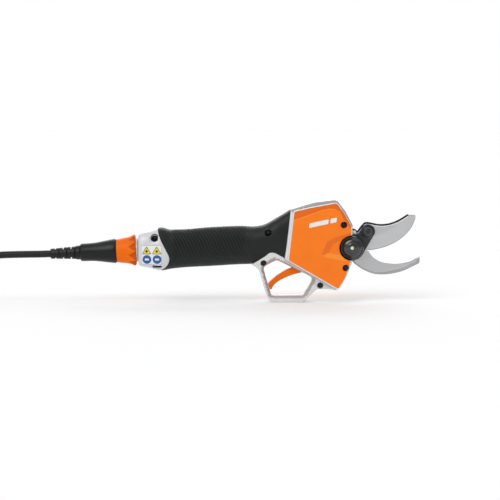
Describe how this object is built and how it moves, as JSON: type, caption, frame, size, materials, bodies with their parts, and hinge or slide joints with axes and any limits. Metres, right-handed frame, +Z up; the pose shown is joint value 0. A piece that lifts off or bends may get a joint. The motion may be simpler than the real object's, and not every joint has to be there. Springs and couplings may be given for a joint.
{
  "type": "battery electric pruner",
  "caption": "Hand-held electric pruner on a cable: ribbed handle, trigger in a closed guard, and one curved blade that closes past a fixed hook.",
  "frame": {"origin": "under the middle of the tool's length, on the surface that its trigger guard stands on", "axes": "+X towards the blades, +Y to the tool's left, +Z up"},
  "size_m": [0.7012, 0.0702, 0.1125],
  "materials": {
    "silver_plastic": "pale grey moulded plastic, satin",
    "orange_plastic": "orange moulded plastic, satin",
    "soft_grip": "black soft-touch rubber with fine ribs",
    "black_plastic": "black plastic, semi-gloss",
    "black_rubber": "black moulded rubber",
    "cord_jacket": "black cable jacket",
    "tie_fabric": "black hook-and-loop strap",
    "blade_steel": "ground and brushed steel",
    "dark_steel": "blackened steel",
    "bright_steel": "machined steel",
    "brass": "machined brass",
    "copper_winding": "lacquered copper windings",
    "circuit_board": "green circuit board",
    "cream_plastic": "pale plastic plug"
  },
  "bodies": {
    "housing": {"housing_right": "silver_plastic", "housing_left": "silver_plastic", "trigger_guard": "silver_plastic", "tool_socket": "silver_plastic", "cover_right": "orange_plastic", "cover_left": "orange_plastic", "grip_right": "soft_grip", "grip_left": "soft_grip", "bulk_capacitor": "black_plastic", "battery_plug": "black_plastic", "plug_body": "black_rubber", "strain_relief": "black_rubber", "battery_relief": "black_rubber", "cord": "cord_jacket", "cord_hank": "cord_jacket", "cord_tie": "tie_fabric", "counter_blade": "blade_steel", "pivot_nut": "dark_steel", "counter_screw_1": "dark_steel", "counter_screw_2": "dark_steel", "screw_rear_upper": "dark_steel", "screw_rear_lower": "dark_steel", "screw_grip_front": "dark_steel", "screw_guard_rear": "dark_steel", "screw_guard_front": "dark_steel", "screw_head_upper": "dark_steel", "screw_head_lower": "dark_steel", "motor_can": "bright_steel", "ring_gear": "bright_steel", "spindle_bearing": "bright_steel", "pivot_bolt": "bright_steel", "trigger_pin": "bright_steel", "trigger_spring": "bright_steel", "contact_pin_1": "brass", "contact_pin_2": "brass", "contact_pin_3": "brass", "motor_stator": "copper_winding", "control_board": "circuit_board", "sensor_board": "circuit_board"},
    "coupling": {"coupling_nut": "orange_plastic"},
    "rotor": {"motor_rotor": "dark_steel", "sun_gear": "bright_steel"},
    "carrier": {"planet_carrier": "bright_steel", "spindle": "bright_steel"},
    "planet_1": {"planet_gear_1": "bright_steel"},
    "planet_2": {"planet_gear_2": "bright_steel"},
    "planet_3": {"planet_gear_3": "bright_steel"},
    "drive_nut": {"spindle_nut": "brass"},
    "link": {"drive_link": "dark_steel"},
    "blade": {"cutting_blade": "blade_steel", "blade_arm": "black_plastic", "arm_screw": "dark_steel", "pivot_cap": "black_plastic", "grease_nipple": "cream_plastic", "lever_pin": "bright_steel"},
    "trigger": {"trigger": "orange_plastic", "trigger_magnet": "dark_steel"}
  },
  "joints": [
    {"name": "rotor_spin", "type": "hinge", "parent": "housing", "child": "rotor", "pos_m": [-0.01589, 0, 0.06112], "axis": [0.999, 0, 0.0447], "range_deg": [0, 3240.5]},
    {"name": "carrier_spin", "type": "hinge", "parent": "housing", "child": "carrier", "pos_m": [0.02407, 0, 0.06291], "axis": [0.999, 0, 0.0447], "range_deg": [0, 720.5]},
    {"name": "planet_1_spin", "type": "hinge", "parent": "carrier", "child": "planet_1", "pos_m": [0.02007, 0.00675, 0.06273], "axis": [0.999, 0, 0.0447], "range_deg": [-2017, 0]},
    {"name": "planet_2_spin", "type": "hinge", "parent": "carrier", "child": "planet_2", "pos_m": [0.01981, -0.00337, 0.06857], "axis": [0.999, 0, 0.0447], "range_deg": [-2017, 0]},
    {"name": "planet_3_spin", "type": "hinge", "parent": "carrier", "child": "planet_3", "pos_m": [0.02033, -0.00337, 0.05689], "axis": [0.999, 0, 0.0447], "range_deg": [-2017, 0]},
    {"name": "nut_slide", "type": "slide", "parent": "housing", "child": "drive_nut", "axis": [0.999, 0, 0.0447], "range_m": [0, 0.01004]},
    {"name": "link_swing", "type": "hinge", "parent": "drive_nut", "child": "link", "pos_m": [0.081, 0, 0.06545], "axis": [0, 1, 0], "range_deg": [-17.1, 0]},
    {"name": "blade_swing", "type": "hinge", "parent": "housing", "child": "blade", "pos_m": [0.1277, 0, 0.0602], "axis": [0, 1, 0], "range_deg": [0, 40]},
    {"name": "trigger_pull", "type": "hinge", "parent": "housing", "child": "trigger", "pos_m": [0.0784, 0, 0.0376], "axis": [0, 1, 0], "range_deg": [0, 9], "stiffness_Nm_per_rad": 0.8, "springref_deg": -11.46},
    {"name": "coupling_turn", "type": "hinge", "parent": "housing", "child": "coupling", "pos_m": [-0.11979, 0, 0.05647], "axis": [0.999, 0, 0.0447], "range_deg": [0, 60]}
  ],
  "couplings": [
    {"joint": "rotor_spin", "follows": "blade_swing", "ratio": 81},
    {"joint": "carrier_spin", "follows": "blade_swing", "ratio": 18},
    {"joint": "planet_1_spin", "follows": "blade_swing", "ratio": -50.4},
    {"joint": "planet_2_spin", "follows": "blade_swing", "ratio": -50.4},
    {"joint": "planet_3_spin", "follows": "blade_swing", "ratio": -50.4},
    {"joint": "nut_slide", "follows": "blade_swing", "m_per_rad": 0.014373},
    {"joint": "link_swing", "follows": "blade_swing", "ratio": -0.42669}
  ]
}
